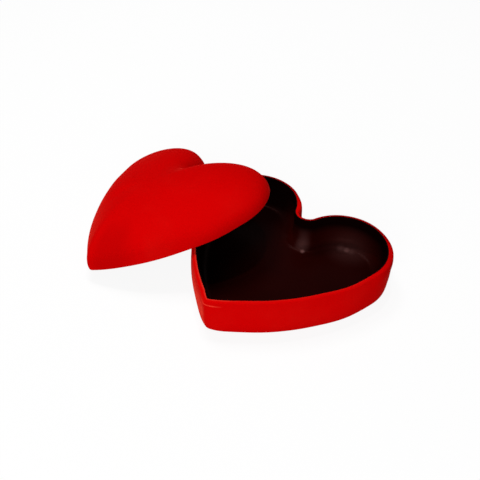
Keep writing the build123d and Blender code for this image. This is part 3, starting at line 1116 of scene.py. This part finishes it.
dark_card = fibrous(
    "dark_card",
    scale=CARD_FIBRE_SCALE,
    detail=4.0,
    depth=CARD_GRAIN_DEPTH,
    dark=CARD_DARK,
    pale=CARD_PALE,
    finish={"Roughness": 0.6, "Specular IOR Level": 0.2},
)


def lid_collar():
    """The band as a closed ring with softened lower edges, its outer face against the lining."""
    seat = COLLAR_INSET + LID_OVERHANG
    outer = COLLAR_INSET
    inner = COLLAR_INSET + COLLAR_WALL
    low = -COLLAR_DROP
    high = COLLAR_HEIGHT - COLLAR_ROUND
    rings = [rim.inset(inner - COLLAR_ROUND).ring(low), rim.inset(outer + COLLAR_ROUND).ring(low)]
    rings += [rim.inset(outer).ring(low + COLLAR_ROUND), rim.inset(outer).ring(LID_BAND)]
    for share in shares(COLLAR_STEPS)[1:]:
        level = (high - LID_BAND) * share / (DOME_RISE - seat)
        heart, z = dome_heart(seat, math.asin(level ** (DOME_POWER / 2)))
        rings.append(heart.ring(z))
    rings += [rim.inset(inner).ring(high), rim.inset(inner).ring(low + COLLAR_ROUND)]
    return loft("collar_band", rings, looped=True)


collar = lid_collar()
collar.data.materials.append(dark_card)
collar.data.transform(lean)
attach(collar, "lid")
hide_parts("lid_collar")


# Studio: a pale floor and room, a broad lamp low in front, one overhead, and a small bare one above.
# The floor and the room are white to the eye, and the floor keeps a faint soft shadow.
VIEW_AZIMUTH = math.radians(40.121)
VIEW_ELEVATION = math.radians(42.441)
VIEW_DISTANCE = 0.349209
VIEW_TARGET = Vector((-0.02966, 0.011225, 0))
LENS_MM = 45.3234
SENSOR_MM = 36.0
WHITE = (1.0, 1.0, 1.0, 1.0)
FLOOR_HALF = 3.0
FLOOR_DROP = 0.0002
FLOOR_PALE = (0.95, 0.95, 0.95, 1.0)
FLOOR_BOUNCE = (0.40, 0.40, 0.40, 1.0)
FLOOR_WHITE_SHARE = 0.90
ROOM_LIGHT = 0.12
LAMP_DISTANCE = 0.9
FRONT_LAMP_WAY = (-0.22, 0.90, 0.36)
FRONT_LAMP_SIZE = 0.6
FRONT_LAMP_WATTS = 6.7
OVERHEAD_LAMP_WAY = (-0.18, -0.37, 0.91)
OVERHEAD_LAMP_SIZE = 0.25
OVERHEAD_LAMP_WATTS = 3.5
GLINT_LAMP_WAY = (0.05, -0.22, 0.97)
GLINT_LAMP_SIZE = 0.04
GLINT_LAMP_WATTS = 1.8

view_right = Vector((math.cos(VIEW_AZIMUTH), math.sin(VIEW_AZIMUTH), 0))
view_front = Vector((math.sin(VIEW_AZIMUTH), -math.cos(VIEW_AZIMUTH), 0))
view_up = Vector((0, 0, 1))


def seen_directly(tree):
    """One for rays that come from the camera, a mirror or glass, and zero for the rest."""
    path = tree.nodes.new("ShaderNodeLightPath").outputs
    shown = combine(tree, "MAXIMUM", path["Is Camera Ray"], path["Is Glossy Ray"])
    return combine(tree, "MAXIMUM", shown, path["Is Transmission Ray"])


def pale_room():
    """A white room to the eye that lights the object softly."""
    world = bpy.data.worlds.new("pale_room")
    world.use_nodes = True
    tree = world.node_tree
    strength = remap(tree, seen_directly(tree), UNIT_RANGE, (ROOM_LIGHT, 1.0))
    set_shader(tree, tree.nodes["Background"], {"Color": WHITE, "Strength": strength})
    bpy.context.scene.world = world


def pale_floor():
    """A flat white floor."""
    mesh = bpy.data.meshes.new("floor")
    signs = ((-1, -1), (1, -1), (1, 1), (-1, 1))
    corners = [(x * FLOOR_HALF, y * FLOOR_HALF, -FLOOR_DROP) for x, y in signs]
    mesh.from_pydata(corners, [], [(0, 1, 2, 3)])
    floor = bpy.data.objects.new("floor", mesh)
    bpy.context.scene.collection.objects.link(floor)
    material = bpy.data.materials.new("floor_white")
    material.use_nodes = True
    tree = material.node_tree
    tree.nodes.remove(tree.nodes["Principled BSDF"])
    seen = seen_directly(tree)
    colour = blend_colours(tree, seen, FLOOR_BOUNCE, FLOOR_PALE)
    paint = add_node(tree, "ShaderNodeBsdfDiffuse", {"Color": colour}).outputs["BSDF"]
    glow = add_node(tree, "ShaderNodeEmission", {"Color": WHITE, "Strength": 1.0}).outputs["Emission"]
    share = combine(tree, "MULTIPLY", seen, FLOOR_WHITE_SHARE)
    mixed = add_node(tree, "ShaderNodeMixShader", {0: share, 1: paint, 2: glow}).outputs["Shader"]
    tree.links.new(mixed, tree.nodes["Material Output"].inputs["Surface"])
    mesh.materials.append(material)


def soft_lamp(name, toward, size, watts):
    """A square soft lamp that faces the object from a way to the right, to the front and up."""
    right, front, up = toward
    way = view_right * right + view_front * front + view_up * up
    lamp = bpy.data.lights.new(name, "AREA")
    lamp.size = size
    lamp.energy = watts
    stand = bpy.data.objects.new(name, lamp)
    stand.location = VIEW_TARGET + way.normalized() * LAMP_DISTANCE
    stand.rotation_euler = (-way).to_track_quat("-Z", "Y").to_euler()
    bpy.context.scene.collection.objects.link(stand)


def photo_camera():
    """The camera at the photograph's place."""
    lens = bpy.data.cameras.new("camera")
    lens.lens = LENS_MM
    lens.sensor_width = SENSOR_MM
    away = view_front * math.cos(VIEW_ELEVATION) + view_up * math.sin(VIEW_ELEVATION)
    camera = bpy.data.objects.new("camera", lens)
    camera.location = VIEW_TARGET + away * VIEW_DISTANCE
    camera.rotation_euler = (-away).to_track_quat("-Z", "Y").to_euler()
    bpy.context.scene.collection.objects.link(camera)
    bpy.context.scene.camera = camera


pale_room()
pale_floor()
soft_lamp("front_lamp", FRONT_LAMP_WAY, FRONT_LAMP_SIZE, FRONT_LAMP_WATTS)
soft_lamp("overhead_lamp", OVERHEAD_LAMP_WAY, OVERHEAD_LAMP_SIZE, OVERHEAD_LAMP_WATTS)
soft_lamp("glint_lamp", GLINT_LAMP_WAY, GLINT_LAMP_SIZE, GLINT_LAMP_WATTS)
photo_camera()
bpy.context.scene.view_settings.view_transform = "Standard"
